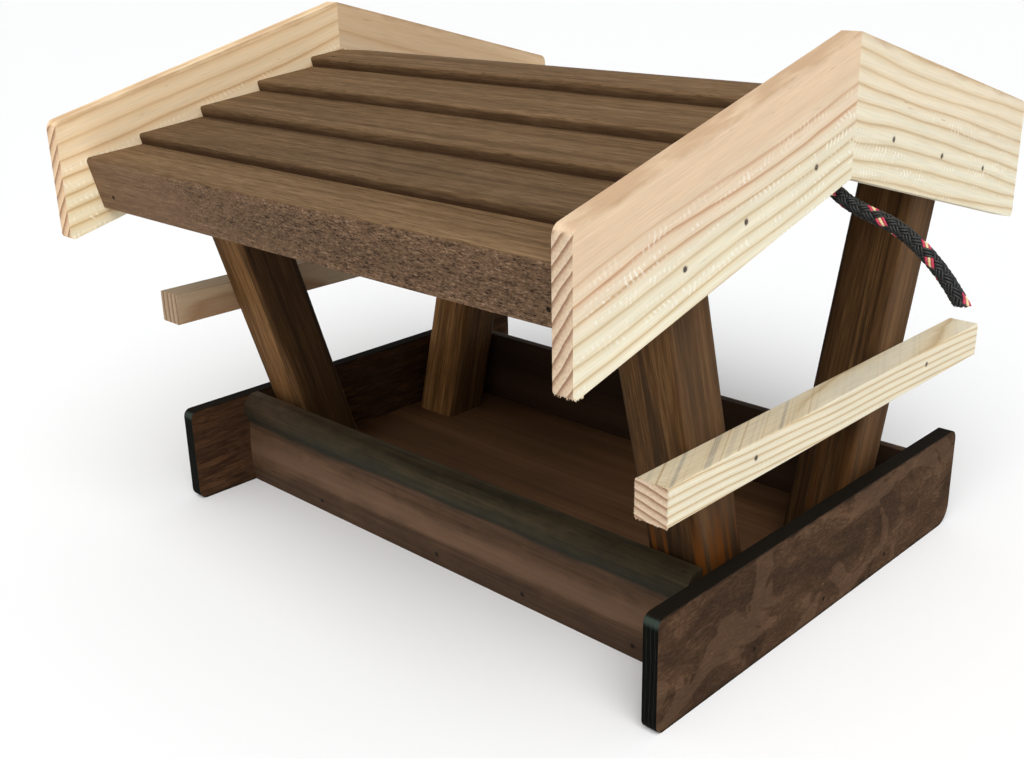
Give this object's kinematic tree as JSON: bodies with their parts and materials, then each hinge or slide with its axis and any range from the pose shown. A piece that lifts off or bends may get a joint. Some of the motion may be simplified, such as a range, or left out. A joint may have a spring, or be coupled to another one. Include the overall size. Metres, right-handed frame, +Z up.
{
  "type": "bird feeder house",
  "caption": "Open wooden bird feeder house: seed tray on a plywood floor, leaning posts, lapped-board gable roof with pale bargeboards, side perches and a hanging rope.",
  "frame": {"origin": "centre of the tray's flat underside, where the house rests", "axes": "+X along the roof ridge towards the right gable, +Y towards the rear rail, +Z up"},
  "size_m": [0.5163, 0.424, 0.318],
  "materials": {
    "tray_plywood": "dark brown stained plywood, weathered",
    "end_board_plywood": "dark brown plywood with blackened edges",
    "rail_wood": "weathered brown moulded softwood",
    "post_wood": "brown stained softwood with planed corners",
    "roof_wood": "mid brown stained softwood, rough sawn at the eaves",
    "frame_wood": "plain softwood",
    "pine": "bare planed pine",
    "rope": "braided cord, black with pink and cream flecks",
    "nail_steel": "dull dark steel"
  },
  "bodies": {
    "root": {"bargeboard_nails": "nail_steel", "eave_nails": "nail_steel", "end_board_nails": "nail_steel", "front_eave_board": "roof_wood", "front_left_bargeboard": "pine", "front_left_post": "post_wood", "front_left_rafter": "frame_wood", "front_rail": "rail_wood", "front_right_bargeboard": "pine", "front_right_post": "post_wood", "front_right_rafter": "frame_wood", "front_roof_board_1": "roof_wood", "front_roof_board_2": "roof_wood", "front_roof_board_3": "roof_wood", "front_roof_board_4": "roof_wood", "left_end_board": "end_board_plywood", "left_perch": "pine", "perch_nails": "nail_steel", "post_nails": "nail_steel", "rafter_nails": "nail_steel", "rail_nails": "nail_steel", "rear_eave_board": "roof_wood", "rear_left_bargeboard": "pine", "rear_left_post": "post_wood", "rear_left_rafter": "frame_wood", "rear_rail": "rail_wood", "rear_right_bargeboard": "pine", "rear_right_post": "post_wood", "rear_right_rafter": "frame_wood", "rear_roof_board_1": "roof_wood", "rear_roof_board_2": "roof_wood", "rear_roof_board_3": "roof_wood", "rear_roof_board_4": "roof_wood", "ridge_batten": "frame_wood", "right_end_board": "end_board_plywood", "right_perch": "pine", "roof_nails": "nail_steel", "rope_left_tail": "rope", "rope_right_tail": "rope", "rope_staples": "nail_steel", "rope_under_ridge": "rope", "tray_floor": "tray_plywood"}
  },
  "joints": []
}
